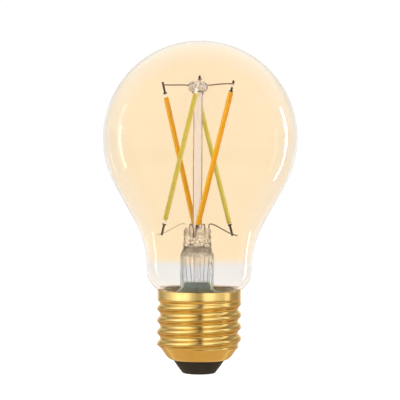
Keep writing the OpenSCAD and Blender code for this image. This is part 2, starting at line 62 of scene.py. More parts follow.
STEM_X = -0.75
STEM_R, STEM_WALL = 5.2, 0.8
TRUMPET_R = 5.2
TRUMPET_Z = SEAL_Z + 0.1 + STEM_WALL + TRUMPET_R
FLARE_TOP_Z = TRUMPET_Z - 0.42 * TRUMPET_R
PRESS_Z, PRESS_TOP_Z, PRESS_W, PRESS_T, PRESS_START_Z = 38.8, 45.0, 8.8, 3.6, 37.0
PRESS_POWER = 3.2                 # how square the press's section is; 2 is an ellipse
PRESS_CEILING_Z = PRESS_Z - 0.55  # top of the hollow in the tube
EXHAUST_R, EXHAUST_WALL, EXHAUST_TIP_Z = 1.3, 0.5, 17.4
POST_R, BUTTON_R, BUTTON_H, BUTTON_Z = 1.45, 3.0, 3.4, 88.3
LEAD_X = [-3.6, -2.3, 3.6, 2.3]   # where the left, front, right and rear leads stand in the press
LEAD_FEET, LEAD_FOOT_Z = [(-2.9, 1.8), (-1.3, 2.3), (3.1, 1.6), (1.9, 2.2)], 20.3
WIRE_R = 0.19
SEAL_WIRE_R, OUTER_LEAD_R = WIRE_R - 0.07, WIRE_R - 0.08
SUPPORT_Z = BUTTON_Z + 0.6        # where the support wires leave the button

FILAMENTS = ["cool_left", "warm_front", "cool_right", "warm_rear"]
SIDE_ANGLES = [183, 266, 6, 90]   # where each filament starts, below; it ends a quarter turn further on
HANG = [0, 0.4, 0.1, 0.9]         # how far each filament hangs below the cage's middle
FILAMENT_L, PHOSPHOR_L, CAGE_R, CAGE_Z = 50.6, 41.6, 11, 66.65
PHOSPHOR_W, PHOSPHOR_T_RATIO = {"warm": 1.65, "cool": 1.5}, 0.9
SUBSTRATE_W, SUBSTRATE_T, SUBSTRATE_L = 0.9, 0.35, PHOSPHOR_L + 1.6
TAB_W, TAB_T = 0.8, 0.2
WELD_S = FILAMENT_L / 2 - 1        # from the filament's middle to a weld
MID_R = CAGE_R / math.sqrt(2)
TILT = math.asin(CAGE_R * math.sqrt(2) / FILAMENT_L)
CHIP_COUNT = 24

CREST_R, ROOT_R, COLLAR_R, PITCH, BRASS_T, RIM_Z = 13.05, 12.1, 12.95, 3.629, 0.3, 25.6
RIM_ROUND = BRASS_T / 2
BASE_R, BASE_Z, BASE_ARC_R, BASE_ANGLE, CONE_ANGLE = 7.9, 4.1, 3.6, -80, 35
BASE_CX = BASE_R - BASE_ARC_R * math.cos(math.radians(BASE_ANGLE))
BASE_CZ = BASE_Z - BASE_ARC_R * math.sin(math.radians(BASE_ANGLE))
FLANK_R, THREAD_TOP_Z, THREAD_FULL_Z, THREAD_LOW_Z, THREAD_END_Z, CREST_PHASE_Z = 1.025, 23, 21.5, 9, 7.4, 9.15
INSULATOR_R, CONTACT_R, CONTACT_TOP_Z = 5.2, 4.0, 0.9
FLOOR_Z = -60
GAP = 0.03                        # clearance between neighbours

# ---------- mesh building ----------


def arc(cx, cz, r, start, end, n):
    """Points of a circular arc of (radius, height), from one angle to another."""
    angles = [math.radians(start + (end - start) * i / n) for i in range(n + 1)]
    return [(cx + r * math.cos(a), cz + r * math.sin(a)) for a in angles]


def smooth(start, end, x):
    """0 before start, 1 after end, and eased between them."""
    t = max(0.0, min(1.0, (x - start) / (end - start)))
    return t * t * (3 - 2 * t)


def mix(a, b, t):
    return a + (b - a) * t


def bezier(p0, p1, p2, p3, n):
    p0, p1, p2, p3 = (Vector(p) for p in (p0, p1, p2, p3))
    points = []
    for i in range(n + 1):
        t = i / n
        s = 1 - t
        points.append(s**3 * p0 + 3 * s * s * t * p1 + 3 * s * t * t * p2 + t**3 * p3)
    return points


def ripple(p, size, seed=0.0):
    """Smooth noise from -1 to 1 at a point, with waves of about that size in millimetres."""
    return noise.noise(Vector(p) / size + Vector((seed, seed * 1.7, seed * 0.6)))


def skin(rings, closed=False):
    """Vertices and faces of a surface through rings of points; a ring of one point is a pole."""
    vertices, rows = [], []
    for ring in rings:
        rows.append(range(len(vertices), len(vertices) + len(ring)))
        vertices += [Vector(p) for p in ring]
    faces = []
    for a, b in zip(rows, rows[1:] + rows[:1] if closed else rows[1:]):
        n = max(len(a), len(b))
        for j in range(n):
            k = (j + 1) % n
            if len(a) == 1:
                faces.append((a[0], b[k], b[j]))
            elif len(b) == 1:
                faces.append((a[j], a[k], b[0]))
            else:
                faces.append((a[j], a[k], b[k], b[j]))
    return vertices, faces


def turned(profile, sides, closed=False, shape=None):
    """A profile of (radius, height) turned round an upright axis; shape moves each point a little."""
    rings = []
    for r, z in profile:
        ring = []
        for j in range(1 if r < 1e-6 else sides):
            a = 2 * math.pi * j / sides
            p = Vector((r * math.cos(a), r * math.sin(a), z))
            ring.append(shape(p, a) if shape else p)
        rings.append(ring)
    return skin(rings, closed)


def tube(path, radius, sides=16, end_rise=0.6):
    """A round bar along a path with rounded ends, which rise by a share of its radius."""
    path = [Vector(p) for p in path]
    n = len(path)
    tangents = [(path[min(i + 1, n - 1)] - path[max(i - 1, 0)]).normalized() for i in range(n)]
    side = tangents[0].orthogonal().normalized()
    rings = []
    for p, t in zip(path, tangents):
        side = (side - t * side.dot(t)).normalized()
        other = t.cross(side)
        turns = [2 * math.pi * j / sides for j in range(sides)]
        rings.append([p + radius * (math.cos(a) * side + math.sin(a) * other) for a in turns])
    for end, t in ((0, -tangents[0]), (-1, tangents[-1])):
        caps = []
        for lean in (30, 60):
            k, rise = math.cos(math.radians(lean)), math.sin(math.radians(lean)) * radius * end_rise
            caps.append([path[end] + (p - path[end]) * k + t * rise for p in rings[end]])
        caps.append([path[end] + t * (radius * end_rise)])
        if end == 0:
            rings = caps[::-1] + rings
        else:
            rings += caps
    return skin(rings)


def block(size, bevel, place):
    """A rounded box, its size and bevel in millimetres, put in place by a matrix."""
    bm = bmesh.new()
    bmesh.ops.create_cube(bm, size=1.0)
    bmesh.ops.scale(bm, vec=Vector(size), verts=bm.verts)
    bmesh.ops.bevel(bm, geom=bm.edges[:] + bm.verts[:], offset=bevel, segments=2, affect="EDGES", profile=0.5)
    bm.transform(place)
    vertices = [v.co.copy() for v in bm.verts]
    faces = [tuple(v.index for v in f.verts) for f in bm.faces]
    bm.free()
    return vertices, faces


def piece(name, parts, material, replaced, sharp=40, shift=(0.0, 0.0, 0.0), fields=None):
    """Makes one object from (vertices, faces) parts in millimetres, to stand for the CAD nodes in replaced.

    sharp is the angle in degrees beyond which an edge stays crisp; fields holds one number a vertex for materials.
    """
    vertices, faces = [], []
    for part_vertices, part_faces in parts:
        start = len(vertices)
        vertices += part_vertices
        faces += [tuple(i + start for i in f) for f in part_faces]
    mesh = bpy.data.meshes.new(name)
    mesh.from_pydata([(Vector(v) + Vector(shift)) * MM for v in vertices], [], faces)
    bm = bmesh.new()
    bm.from_mesh(mesh)
    bmesh.ops.recalc_face_normals(bm, faces=bm.faces)
    bm.to_mesh(mesh)
    bm.free()
    for polygon in mesh.polygons:
        polygon.use_smooth = True
    mesh.set_sharp_from_angle(angle=math.radians(sharp))
    mesh.materials.append(material)
    for key, values in (fields or {}).items():
        mesh.attributes.new(key, "FLOAT", "POINT").data.foreach_set("value", values)
    made = bpy.data.objects.new(name, mesh)
    scene.collection.objects.link(made)
    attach(made, "root")
    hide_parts(*replaced)
    return made


# ---------- materials ----------


class Nodes:
    """Adds nodes to a node tree and links them."""

    def __init__(self, tree):
        self.tree = tree

    def link(self, value, socket):
        self.tree.links.new(value, socket)

    def add(self, kind, inputs=None, **settings):
        node = self.tree.nodes.new(kind)
        for key, value in settings.items():
            setattr(node, key, value)
        for key, value in (inputs or {}).items():
            if isinstance(value, bpy.types.NodeSocket):
                self.link(value, node.inputs[key])
            else:
                node.inputs[key].default_value = value
        return node

    def math(self, operation, *values):
        return self.add("ShaderNodeMath", dict(enumerate(values)), operation=operation).outputs[0]

    def span(self, value, low, high, at_low=0.0, at_high=1.0, eased=False):
        """Carries a value between low and high over to at_low and at_high, and holds it there beyond them."""
        kind = "SMOOTHSTEP" if eased else "LINEAR"
        ends = {0: value, 1: low, 2: high, 3: at_low, 4: at_high}
        return self.add("ShaderNodeMapRange", ends, interpolation_type=kind).outputs[0]

    def ramp(self, value, stops):
        node = self.add("ShaderNodeValToRGB", {0: value})
        elements = node.color_ramp.elements
        while len(elements) > 1:
            elements.remove(elements[-1])
        elements[0].position, elements[0].color = stops[0][0], rgba(stops[0][1])
        for position, colour in stops[1:]:
            elements.new(position).color = rgba(colour)
        return node.outputs[0]

    def blend(self, factor, a, b, blend_type="MIX"):
        """Mixes two colours; a Mix node's colours are its inputs 6 and 7 and its output 2."""
        node = self.add("ShaderNodeMix", data_type="RGBA", blend_type=blend_type)
        for socket, value in ((node.inputs[0], factor), (node.inputs[6], a), (node.inputs[7], b)):
            if isinstance(value, bpy.types.NodeSocket):
                self.link(value, socket)
            else:
                socket.default_value = rgba(value) if isinstance(value, tuple) else value
        return node.outputs[2]

    def tint(self, a, b):
        return self.blend(1.0, a, b, "MULTIPLY")

    def place(self):
        """A point's place on the object, in metres."""
        return self.add("ShaderNodeTexCoord").outputs["Object"]

    def axes(self, vector):
        return self.add("ShaderNodeSeparateXYZ", {0: vector}).outputs

    def height(self):
        """Height above the contact in millimetres."""
        return self.math("MULTIPLY", self.axes(self.place())[2], 1 / MM)

    def field(self, name):
        return self.add("ShaderNodeAttribute", attribute_name=name).outputs["Fac"]

    def grazing(self):
        """0 where the surface faces the ray, 1 where the ray only grazes it."""
        return self.add("ShaderNodeLayerWeight", {"Blend": 0.5}).outputs["Facing"]

    def millimetres(self, stretch=(1, 1, 1)):
        return self.add("ShaderNodeMapping", {"Vector": self.place(), "Scale": [s / MM for s in stretch]}).outputs[0]

    def noise(self, scale, detail=3.0, roughness=0.5, stretch=(1, 1, 1), distortion=0.0):
        """Noise in object space; scale is in waves per millimetre, stretch squeezes it along an axis."""
        node = self.add("ShaderNodeTexNoise", {
            "Vector": self.millimetres(stretch), "Scale": scale, "Detail": detail, "Roughness": roughness,
            "Distortion": distortion})
        return node.outputs["Fac"]

    def bump(self, height, strength, distance):
        node = self.add("ShaderNodeBump", {"Height": height, "Strength": strength, "Distance": distance * MM})
        return node.outputs[0]


def rgba(colour):
    if isinstance(colour, (int, float)):
        return (colour, colour, colour, 1)
    return tuple(colour) + (1,)


def start_material(name, **sockets):
    """A material, its nodes and its shader's inputs, with the named sockets set."""
    material = bpy.data.materials.new(name)
    material.use_nodes = True
    tree = material.node_tree
    shader = next(n for n in tree.nodes if n.type == "BSDF_PRINCIPLED")
    for key, value in sockets.items():
        shader.inputs[key.replace("_", " ")].default_value = value
    return material, Nodes(tree), shader.inputs


NOISE_LOW, NOISE_HIGH = 0.3, 0.7          # nearly all of a noise lies between these


def surface(name, low, high, scale=1.0, rough=(0.4, 0.55), relief=0.02, stretch=(1, 1, 1), **sockets):
    """A surface whose colour, gloss and relief wander with one noise."""
    material, nodes, shader = start_material(name, **sockets)
    wander = nodes.noise(scale, 4.0, 0.6, stretch)
    nodes.link(nodes.ramp(wander, [(NOISE_LOW, low), (NOISE_HIGH, high)]), shader["Base Color"])
    nodes.link(nodes.span(wander, NOISE_LOW, NOISE_HIGH, *rough), shader["Roughness"])
    nodes.link(nodes.bump(wander, 0.5, relief), shader["Normal"])
    return material


def envelope_glass():
    """Clear blown glass with an amber lacquer above the neck; towards the rim both tones turn paler, a painted
    reflection of the white surroundings.
    """
    material, nodes, shader = start_material("envelope_glass", Transmission_Weight=1.0, Roughness=0.0, IOR=1.25)
    edge = nodes.math("ADD", nodes.height(), nodes.math("MULTIPLY", nodes.noise(0.14, 2.0), 1.6))
    lacquer = nodes.span(edge, AMBER_Z - 0.4, AMBER_Z + 2.4, eased=True)
    # painted reflection: these ramps pale both tones towards grazing, where the white surroundings would reflect
    clear = nodes.ramp(nodes.grazing(), [
        (0.0, (0.91, 0.895, 0.875)), (0.5, (0.915, 0.895, 0.87)), (0.75, (0.95, 0.88, 0.82)),
        (1.0, (0.97, 0.91, 0.86))])
    amber = nodes.ramp(nodes.grazing(), [
        (0.0, (0.985, 0.87, 0.70)), (0.36, (0.99, 0.885, 0.72)), (0.66, (1.0, 0.945, 0.88)), (0.8, (1.0, 0.96, 0.925)),
        (1.0, (1.0, 0.97, 0.95))])
    nodes.link(nodes.blend(lacquer, clear, amber), shader["Base Color"])
    nodes.link(nodes.bump(nodes.noise(0.09, 1.0), 0.3, 0.05), shader["Normal"])
    return material


PLAIN_Z = 35.5                            # below this the stem is a plain tube, above it the press begins
BOARD_REFLECTION_Z = (28.6, 28.0)               # a painted reflection of the board's green on the tube's foot, below these heights


def stem_glass(name, facing, middle, edge, relief=0.0, low=None, reach=(0.38, 0.8), folds=None, **sockets):
    """Thick clear glass: facing, middle and edge are its tones from face-on to grazing, and reach says how far; the
    darker grazing tones are painted shade for the dark rims that thick glass shows.

    low gives the three tones of the thin tube below, which darken to painted shade at grazing and carry a painted
    reflection of the board's green on its foot; folds the scale of the fold lines and relief their depth.
    """
    material, nodes, shader = start_material(name, Roughness=0.0, IOR=1.5, **sockets)
    grazing = nodes.grazing()
    # painted shade: the tone darkens towards grazing for the dark rims of thick glass
    tone = nodes.ramp(grazing, [(0.0, facing), (reach[0], middle), (reach[1], edge)])
    if folds:                                                # narrow dark lines where the hot glass folded
        line = nodes.math("ABSOLUTE", nodes.math("SUBTRACT", nodes.noise(folds, 1.0, distortion=1.6), 0.5))
        tone = nodes.blend(nodes.span(line, 0.065, 0.015, 0.0, 0.9), tone, (0.38, 0.35, 0.33))
    if low:
        # painted shade: the thin tube turns blue-grey towards grazing
        cool = nodes.ramp(grazing, [(0.0, (0.97, 0.975, 0.98)), (0.3, low[0]), (0.62, low[1]), (0.9, low[2])])
        # painted reflection of the board's green: below those heights and within 5.4 mm of the axis left and right, the
        # foot is tinted green
        foot = nodes.span(nodes.height(), *BOARD_REFLECTION_Z)
        off_axis = nodes.math("ABSOLUTE", nodes.axes(nodes.place())[0])
        painted_reflection_mask = nodes.span(off_axis, 6.4 * MM, 5.4 * MM)
        cool = nodes.blend(nodes.math("MULTIPLY", foot, painted_reflection_mask), cool, nodes.tint(cool, (0.76, 0.80, 0.64)))
        tone = nodes.blend(nodes.span(nodes.height(), PLAIN_Z, 39.0), cool, tone)
    nodes.link(tone, shader["Base Color"])
    if relief:
        rough = nodes.noise(1.0, 3.0, distortion=0.8)
        upper = nodes.span(nodes.height(), PLAIN_Z, 38.0)
        nodes.link(nodes.bump(nodes.math("MULTIPLY", rough, upper), 1.0, relief), shader["Normal"])
    return material


def phosphor(name, body, pale_rim_and_glow, spot):
    """Silicone with phosphor powder: paler at the edges, partly where the coat thins out and partly as painted light
    shining through the thin silicone, and a little darker over each chip.
    """
    material, nodes, shader = start_material(name, IOR=1.41, Specular_IOR_Level=0.12, Sheen_Weight=0.04,
                                             Sheen_Roughness=0.4)
    chip_step = (PHOSPHOR_L - 3) / (CHIP_COUNT - 1)
    beat = nodes.math("COSINE", nodes.math("MULTIPLY", nodes.field("along"), 2 * math.pi / chip_step))
    chips = nodes.math("MULTIPLY", nodes.math("ADD", nodes.math("MULTIPLY", beat, 0.5), 0.5), 0.35)
    grain = nodes.noise(4.0, 4.0, 0.7)
    # paler edges: partly the thinner coat, partly painted light shining through the thin silicone
    thin_coat_and_glow = nodes.span(nodes.math("ABSOLUTE", nodes.field("across")), 0.55, 1.0, eased=True)
    tone = nodes.blend(nodes.math("MULTIPLY", thin_coat_and_glow, 0.7), nodes.blend(chips, body, spot), pale_rim_and_glow)
    speckle = nodes.ramp(grain, [(NOISE_LOW, 0.93), (NOISE_HIGH, 1.0)])
    nodes.link(nodes.tint(tone, speckle), shader["Base Color"])
    nodes.link(nodes.span(grain, NOISE_LOW, NOISE_HIGH, 0.35, 0.55), shader["Roughness"])
    nodes.link(nodes.bump(grain, 0.4, 0.03), shader["Normal"])
    return material


def brass():
    """Rolled and drawn brass: fine marks round the shell, a slow drift of tone, and a dark band under each thread's
    crest that is partly tarnish and partly painted shade.
    """
    material, nodes, shader = start_material("cap_brass", Metallic=1.0)
    marks = nodes.noise(0.25, 5.0, 0.7, stretch=(0.5, 0.5, 22))
    tone = nodes.ramp(nodes.noise(0.16, 3.0), [
        (NOISE_LOW, (0.88, 0.61, 0.20)), (0.55, (0.94, 0.68, 0.25)), (0.75, (0.96, 0.72, 0.29))])
    tone = nodes.blend(nodes.math("MULTIPLY", marks, 0.2), tone, (0.82, 0.46, 0.12))
    patchy = nodes.span(nodes.noise(0.35, 3.0), NOISE_LOW, NOISE_HIGH, 0.3, 0.85)
    # the dark band under each crest, from the groove field: partly tarnish, partly painted shade
    tone = nodes.blend(nodes.math("MULTIPLY", nodes.field("groove"), patchy), tone, (0.33, 0.17, 0.025))
    nodes.link(tone, shader["Base Color"])
    nodes.link(nodes.span(marks, NOISE_LOW, NOISE_HIGH, 0.11, 0.17), shader["Roughness"])
    nodes.link(nodes.bump(marks, 0.25, 0.012), shader["Normal"])
    return material


def tab_metal():
    """Dark nickel-iron strip, with painted highlights: pale glints where a field of the mesh is high."""
    material, nodes, shader = start_material("tab_metal", Metallic=0.8)
    wander = nodes.noise(1.6, 3.0)
    tone = nodes.ramp(wander, [(NOISE_LOW, (0.028, 0.018, 0.014)), (NOISE_HIGH, (0.085, 0.060, 0.050))])
    # painted highlight: pale glints where the field is high
    nodes.link(nodes.blend(nodes.field("painted_glint"), tone, (0.88, 0.88, 0.90)), shader["Base Color"])
    nodes.link(nodes.span(wander, NOISE_LOW, NOISE_HIGH, 0.25, 0.45), shader["Roughness"])
    nodes.link(nodes.bump(wander, 0.5, 0.01), shader["Normal"])
    return material


def board(name, low, high):
    """Solder mask over a weave, with fine copper tracks showing as a paler green."""
    material, nodes, shader = start_material(name, Coat_Weight=0.3, Coat_Roughness=0.15, Roughness=0.4)
    tracks = nodes.add("ShaderNodeTexBrick", {
        "Vector": nodes.millimetres(), "Scale": 0.55, "Mortar Size": 0.03, "Color1": rgba(low), "Color2": rgba(high),
        "Mortar": rgba((0.25, 0.4, 0.2))})
    wander = nodes.math("MULTIPLY", nodes.noise(1.5), 0.3)
    nodes.link(nodes.blend(wander, tracks.outputs[0], high), shader["Base Color"])
    nodes.link(nodes.bump(tracks.outputs["Fac"], 0.3, 0.03), shader["Normal"])
    return material


M = {
    "envelope": envelope_glass(),
    "stem": stem_glass("stem_glass", (0.98, 0.97, 0.97), (0.87, 0.86, 0.86), (0.46, 0.43, 0.42),
                       Transmission_Weight=1.0),
    "post": stem_glass("post_glass", (0.93, 0.93, 0.95), (0.93, 0.92, 0.94), (0.22, 0.18, 0.17), reach=(0.3, 0.48),
                       Transmission_Weight=0.52),
    "press": stem_glass("press_glass", (1.0, 0.995, 0.99), (0.94, 0.92, 0.90), (0.48, 0.44, 0.41), relief=0.5,
                        low=((0.97, 0.975, 0.985), (0.58, 0.63, 0.68), (0.14, 0.18, 0.22)), folds=0.5,
                        Transmission_Weight=0.93),
    "button": stem_glass("button_glass", (1.0, 1.0, 1.0), (0.97, 0.98, 1.0), (0.10, 0.10, 0.11), relief=0.5,
                         reach=(0.5, 0.75), folds=0.62, Transmission_Weight=0.55),
    "warm": phosphor("warm_phosphor", (0.63, 0.305, 0.0), (0.70, 0.40, 0.004), (0.58, 0.26, 0.0)),
    "cool": phosphor("cool_phosphor", (0.48, 0.43, 0.060), (0.66, 0.60, 0.20), (0.43, 0.385, 0.05)),
    "brass": brass(),
    "nickel": surface("nickel_wire", (0.13, 0.10, 0.085), (0.26, 0.21, 0.18), 1.2, (0.3, 0.45), 0.01, Metallic=0.85),
    "copper": surface("copper_wire", (0.22, 0.14, 0.11), (0.36, 0.24, 0.19), 0.8, (0.3, 0.45), 0.01, Metallic=0.9),
    "tinned": surface("tinned_wire", (0.50, 0.49, 0.47), (0.66, 0.65, 0.63), 0.8, (0.25, 0.4), 0.01, Metallic=0.9),
    "bright_wire": surface("bright_wire", (0.84, 0.80, 0.72), (0.95, 0.92, 0.85), 0.8, (0.3, 0.45), 0.01,
                           Metallic=0.9),
    "tab": tab_metal(),
    "ceramic": surface("white_ceramic", (0.78, 0.76, 0.70), (0.88, 0.87, 0.83), 1.0, (0.5, 0.65), 0.01),
    "led": surface("led_chip", (0.10, 0.22, 0.50), (0.20, 0.38, 0.72), 3.0, (0.15, 0.3), 0.005),
    "black_glass": surface("black_glass", (0.014, 0.011, 0.008), (0.024, 0.019, 0.014), 0.5, (0.42, 0.6), 0.03,
                           Specular_IOR_Level=0.22),
    "contact": surface("contact_metal", (0.55, 0.53, 0.48), (0.72, 0.69, 0.63), 0.9, (0.25, 0.4), 0.015, Metallic=1.0),
    "solder": surface("solder", (0.50, 0.50, 0.51), (0.70, 0.70, 0.71), 1.1, (0.25, 0.5), 0.05, Metallic=1.0),
    "cement": surface("cement", (0.62, 0.44, 0.19), (0.92, 0.74, 0.40), 0.5, (0.6, 0.85), 0.1),
    "sleeve": surface("sleeve", (0.70, 0.69, 0.62), (0.80, 0.79, 0.73), 0.4, (0.4, 0.55), 0.01),
    "board": board("circuit_board", (0.075, 0.14, 0.065), (0.10, 0.18, 0.085)),
    "aerial": surface("aerial_under_mask", (0.11, 0.19, 0.08), (0.16, 0.25, 0.11), 1.5, (0.3, 0.45), 0.008,
                      Coat_Weight=0.3),
    "package": surface("black_package", (0.014, 0.014, 0.015), (0.028, 0.028, 0.030), 6.0, (0.5, 0.65), 0.01),
    "can": surface("crystal_can", (0.60, 0.60, 0.62), (0.72, 0.72, 0.74), 1.2, (0.2, 0.35), 0.01, Metallic=1.0),
    "cap_sleeve": surface("capacitor_sleeve", (0.020, 0.030, 0.065), (0.030, 0.045, 0.095), 0.6, (0.3, 0.4), 0.01,
                          Coat_Weight=0.3),
    "film": surface("film_box", (0.50, 0.33, 0.02), (0.60, 0.42, 0.04), 0.8, (0.3, 0.45), 0.01),
    "ferrite": surface("ferrite", (0.035, 0.035, 0.037), (0.065, 0.065, 0.067), 2.5, (0.55, 0.75), 0.02),
    "winding": surface("copper_winding", (0.42, 0.15, 0.05), (0.60, 0.24, 0.09), 1.0, (0.25, 0.4), 0.01,
                       stretch=(0.3, 0.3, 3), Metallic=0.9),
    "resistor": surface("resistor_body", (0.10, 0.24, 0.16), (0.14, 0.32, 0.22), 1.0, (0.4, 0.55), 0.02),
    "chip_cap": surface("ceramic_chip", (0.42, 0.29, 0.17), (0.54, 0.39, 0.25), 1.6, (0.4, 0.5), 0.01),
}

# ---------- glass ----------


def envelope_side(depth):
    """The glass's side from the crown to the seal, at a depth below its outer face."""
    start_z = GLOBE_Z - GLOBE_R * math.sin(math.radians(WAIST_ANGLE))
    start_r = GLOBE_R * math.cos(math.radians(WAIST_ANGLE))
    end_r = NECK_R + WAIST_R * (1 - math.cos(math.radians(WAIST_ANGLE)))
    end_z = start_z - (start_r - end_r) / math.tan(math.radians(WAIST_ANGLE))
    neck_z = end_z - WAIST_R * math.sin(math.radians(WAIST_ANGLE))
    side = arc(0, GLOBE_Z, GLOBE_R - depth, 90, -WAIST_ANGLE, 96)
    straight = arc(NECK_R + WAIST_R, neck_z, WAIST_R + depth, 180 - WAIST_ANGLE, 180, 26)
    side += [(mix(side[-1][0], straight[0][0], t), mix(side[-1][1], straight[0][1], t)) for t in (0.33, 0.67)]
    side += straight
    side += arc(NECK_R - SHOULDER_R, neck_z, SHOULDER_R - depth, -3, -SHOULDER_ANGLE, 30)
    return [(0.0, side[0][1])] + side[1:] + [(SEAL_R - depth, SEAL_Z)]


def blown(p, _):
    """The glass wanders a hundredth of a millimetre or so, as blown glass does, but not at its seal."""
    if p.x * p.x + p.y * p.y < 1e-6 or p.z < 26:
        return p
    out = Vector((p.x, p.y, p.z - GLOBE_Z)).normalized() if p.z > 50 else Vector((p.x, p.y, 0)).normalized()
    return p + out * 0.012 * ripple(p, 9.0, 3.0)


outer, inner = envelope_side(0), envelope_side(GLASS_WALL)
inner = [p for p in inner if p[1] > SEAL_TOP_Z + 0.1]
envelope = turned(outer + [(SEAL_R - 1.35, SEAL_Z)] + inner[::-1], 176, shape=blown)
envelope_piece = piece("glass_envelope", [envelope], M["envelope"],
                       ["glass_envelope", "amber_coating"], sharp=50)


# dents that the air jets leave in the press: x, z, width and height
BLOW_HOLES, BLOW_DEPTH = [(-1.5, 40.4, 1.1, 0.6), (0.8, 39.2, 0.9, 0.6)], 1.1


def stem_ring(half_w, half_t, power, z, wrinkle=0.0, sides=96):
    """A ring of the stem: round where power is 2, flattened with rounded corners where it is more."""
    ring = []
    for j in range(sides):
        a = 2 * math.pi * j / sides
        c, s = math.cos(a), math.sin(a)
        p = Vector((half_w * math.copysign(abs(c) ** (2 / power), c),
                    half_t * math.copysign(abs(s) ** (2 / power), s), z))
        if wrinkle:
            out = Vector((p.x, p.y * 2.2, 0)).normalized()
            p += out * wrinkle * (1.2 * ripple(p, 1.5, 5.0) + 0.8 * ripple(p, 0.8, 9.0))
            for hx, hz, hw, hh in BLOW_HOLES if p.y < 0 else ():
                p.y += BLOW_DEPTH * math.exp(-((p.x - hx) / hw) ** 2 - ((z - hz) / hh) ** 2)
        ring.append(p)
    return ring


def flare(radius):
    """The skirt's outer or inner face, rounded more tightly upwards than outwards."""
    low = TRUMPET_Z - radius
    return [(r, low + (z - low) * (FLARE_TOP_Z - low) / radius) for r, z in
            arc(STEM_R + TRUMPET_R, TRUMPET_Z, radius, 180, 264, 24)]


def stem_skin():
    """Rings from the flare's lip up the outside to the press's top, then from the hollow's ceiling down the inside."""
    tube_top, press_low, press_high = PRESS_START_Z - 0.6, PRESS_Z + 0.6, PRESS_TOP_Z - 0.7
    rings = [stem_ring(r, r, 2, z) for r, z in reversed(flare(TRUMPET_R))]
    for i in range(1, 9):
        rings.append(stem_ring(STEM_R, STEM_R, 2, mix(FLARE_TOP_Z, tube_top, i / 8)))
    for i in range(1, 13):                                   # the tube melts together into the press
        t = i / 12
        k = smooth(0, 1, t)
        waist = 0.25 * math.sin(math.pi * t)
        rings.append(stem_ring(mix(STEM_R, PRESS_W / 2, k) - waist, mix(STEM_R, PRESS_T / 2, k ** 0.8),
                               mix(2, PRESS_POWER, k), mix(tube_top, press_low, t), 0.3 * k))
    for i in range(1, 17):
        t = i / 16
        pinch = 0.18 * math.sin(math.pi * t) ** 2
        rings.append(stem_ring(PRESS_W / 2 - 0.35 * t, PRESS_T / 2 - 0.25 * t - pinch, PRESS_POWER,
                               mix(press_low, press_high, t), 0.3))
    for t in (0.25, 0.5, 0.7, 0.85, 0.95):                   # the press's top draws in to the post
        lean = math.radians(90 * t)
        w = mix(POST_R + 0.2, PRESS_W / 2 - 0.35, math.cos(lean))
        d = mix(POST_R + 0.05, PRESS_T / 2 - 0.25, math.cos(lean))
        rings.append(stem_ring(w, d, mix(PRESS_POWER, 2.0, t), press_high + 0.68 * math.sin(lean), 0.1 * (1 - t)))
    rings.append(stem_ring(POST_R + 0.02, POST_R + 0.02, 2, PRESS_TOP_Z))
    rings.append([Vector((0, 0, PRESS_TOP_Z))])
    bore = STEM_R - STEM_WALL
    rings.append([Vector((0, 0, PRESS_CEILING_Z))])          # the hollow inside, from its ceiling down
    for i in range(1, 9):
        lean = math.radians(90 * i / 8)
        k = math.sin(lean)
        rings.append(stem_ring(mix(1.2, bore, k), mix(0.5, bore, k ** 2.2), 2,
                               PRESS_CEILING_Z - 2.3 * (1 - math.cos(lean)), 0.45 * (1 - k)))
    return rings + [stem_ring(r, r, 2, z) for r, z in flare(TRUMPET_R + STEM_WALL)]


ON_STEM = (STEM_X, 0, 0)
rings = stem_skin()
top = next(i for i, r in enumerate(rings) if len(r) == 1)
stem = skin(rings[top + 1:] + rings[:top + 1])
piece("stem_flare", [stem], M["press"], ["stem_flare"], sharp=60, shift=ON_STEM)

bore = EXHAUST_R - EXHAUST_WALL
tube_top = PRESS_Z - 0.62
profile = [(0, EXHAUST_TIP_Z)] + arc(0, EXHAUST_TIP_Z + 1.3, 1.3, -80, 0, 8)
profile += [(EXHAUST_R, 22), (EXHAUST_R + 0.03, 27), (EXHAUST_R, 32), (EXHAUST_R + 0.05, tube_top - 1.2),
            (EXHAUST_R + 0.3, tube_top), (bore - 0.1, tube_top), (bore, tube_top - 1.2), (bore, 32), (bore + 0.03, 27),
            (bore, 22), (bore, EXHAUST_TIP_Z + 2.6), (0.3, EXHAUST_TIP_Z + 1.3), (0, EXHAUST_TIP_Z + 1.2)]
piece("exhaust_tube", [turned(profile, 48)], M["stem"], ["exhaust_tube"], sharp=50, shift=ON_STEM)


def drawn(p, _):
    """Rod drawn by hand isn't quite round or even."""
    return p + Vector((p.x, p.y, 0)) * 0.02 * ripple(p, 5.0, 1.0)


low, high = PRESS_TOP_Z + GAP, BUTTON_Z - BUTTON_H / 2 - GAP
heights = [mix(low, high, i / 60) for i in range(61)]
profile = [(0, low)] + [
    (POST_R + 0.16 * math.exp(-(z - low) / 0.5) + 0.3 * math.exp((z - high) / 0.5)
     - 0.03 * math.sin((z - low) / 4.0), z) for z in heights] + [(0, high)]
piece("stem_post", [turned(profile, 56, shape=drawn)], M["post"], ["stem_post"], sharp=50, shift=ON_STEM)


